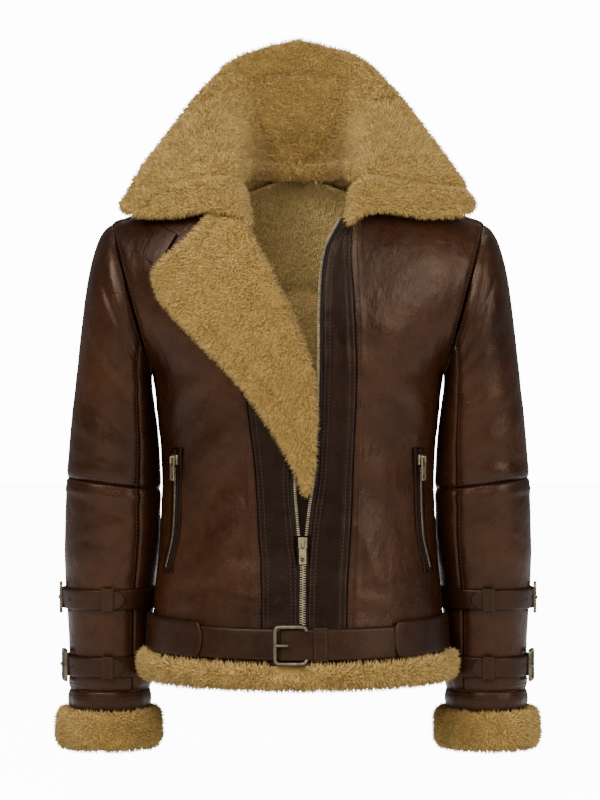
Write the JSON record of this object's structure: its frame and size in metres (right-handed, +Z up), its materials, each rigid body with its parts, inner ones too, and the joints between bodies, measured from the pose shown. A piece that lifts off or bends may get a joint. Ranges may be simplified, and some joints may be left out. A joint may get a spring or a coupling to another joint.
{
  "type": "sheepskin flying jacket, worn form with no wearer",
  "caption": "Men's sheepskin flying jacket in worn form: brown leather outside, tan fleece collar, lapel, hem and cuffs, zip front, belted waist and strapped sleeves.",
  "frame": {"origin": "on the centre plane between the shoulders, level with the collar's front corners, where the wearer's shoulders carry the jacket", "axes": "+Z up, front towards -Y, +X to the right as seen from the front"},
  "size_m": [0.635, 0.3224, 0.933],
  "materials": {
    "body_leather": "dark chocolate brown sheepskin leather, semi-gloss, soft creases",
    "strip_leather": "darker purple-brown leather of the front strips and welts",
    "strap_leather": "firm warm brown belt leather with cut edges",
    "fleece": "dense golden tan sheep fleece, matt, pale tips and darker roots",
    "zip_brass": "antique brass zip, darkened in the hollows",
    "buckle_metal": "antique gunmetal brass, worn bright on the edges"
  },
  "bodies": {
    "jacket": {"back_lower_left": "body_leather", "back_lower_right": "body_leather", "back_yoke": "body_leather", "belt": "strap_leather", "belt_buckle": "buckle_metal", "belt_carrier_left": "strap_leather", "belt_carrier_right": "strap_leather", "belt_end": "strap_leather", "belt_keeper": "strap_leather", "collar_back": "fleece", "collar_band_back": "fleece", "collar_band_left": "fleece", "collar_band_right": "fleece", "collar_left": "fleece", "collar_right": "fleece", "cuff_fur_left": "fleece", "cuff_fur_right": "fleece", "front_left_panel": "body_leather", "front_left_strip": "strip_leather", "front_right_panel": "body_leather", "front_right_strip": "strip_leather", "hem_band_left": "body_leather", "hem_band_right": "body_leather", "hem_fur_left": "fleece", "hem_fur_right": "fleece", "lapel": "fleece", "pocket_welt_left": "strip_leather", "pocket_welt_right": "strip_leather", "pocket_zip_left": "zip_brass", "pocket_zip_right": "zip_brass", "sleeve_left_lower_top": "body_leather", "sleeve_left_lower_under": "body_leather", "sleeve_left_upper_top": "body_leather", "sleeve_left_upper_under": "body_leather", "sleeve_left_wrist_band": "body_leather", "sleeve_right_lower_top": "body_leather", "sleeve_right_lower_under": "body_leather", "sleeve_right_upper_top": "body_leather", "sleeve_right_upper_under": "body_leather", "sleeve_right_wrist_band": "body_leather", "strap_buckle_left_lower": "buckle_metal", "strap_buckle_left_upper": "buckle_metal", "strap_buckle_right_lower": "buckle_metal", "strap_buckle_right_upper": "buckle_metal", "strap_left_lower": "strap_leather", "strap_left_upper": "strap_leather", "strap_right_lower": "strap_leather", "strap_right_upper": "strap_leather", "throat_strap": "strap_leather", "under_flap": "strip_leather", "zip_closed": "zip_brass", "zip_row_left": "zip_brass", "zip_row_right": "zip_brass", "zip_slider_main": "zip_brass", "zip_slider_pocket_left": "zip_brass", "zip_slider_pocket_right": "zip_brass"},
    "pull_main": {"zip_pull_main": "zip_brass"},
    "pull_pocket_right": {"zip_pull_pocket_right": "zip_brass"},
    "pull_pocket_left": {"zip_pull_pocket_left": "zip_brass"}
  },
  "joints": [
    {"name": "pull_main_swing", "type": "hinge", "parent": "jacket", "child": "pull_main", "pos_m": [0.0059, -0.13314, -0.428], "axis": [-1, 0, 0], "range_deg": [0, 150]},
    {"name": "pull_pocket_right_swing", "type": "hinge", "parent": "jacket", "child": "pull_pocket_right", "pos_m": [0.15892, -0.06484, -0.32714], "axis": [-0.6177, -0.7864, 0], "range_deg": [0, 150]},
    {"name": "pull_pocket_left_swing", "type": "hinge", "parent": "jacket", "child": "pull_pocket_left", "pos_m": [-0.15894, -0.06504, -0.32712], "axis": [-0.6142, 0.7891, 0], "range_deg": [0, 150]}
  ]
}
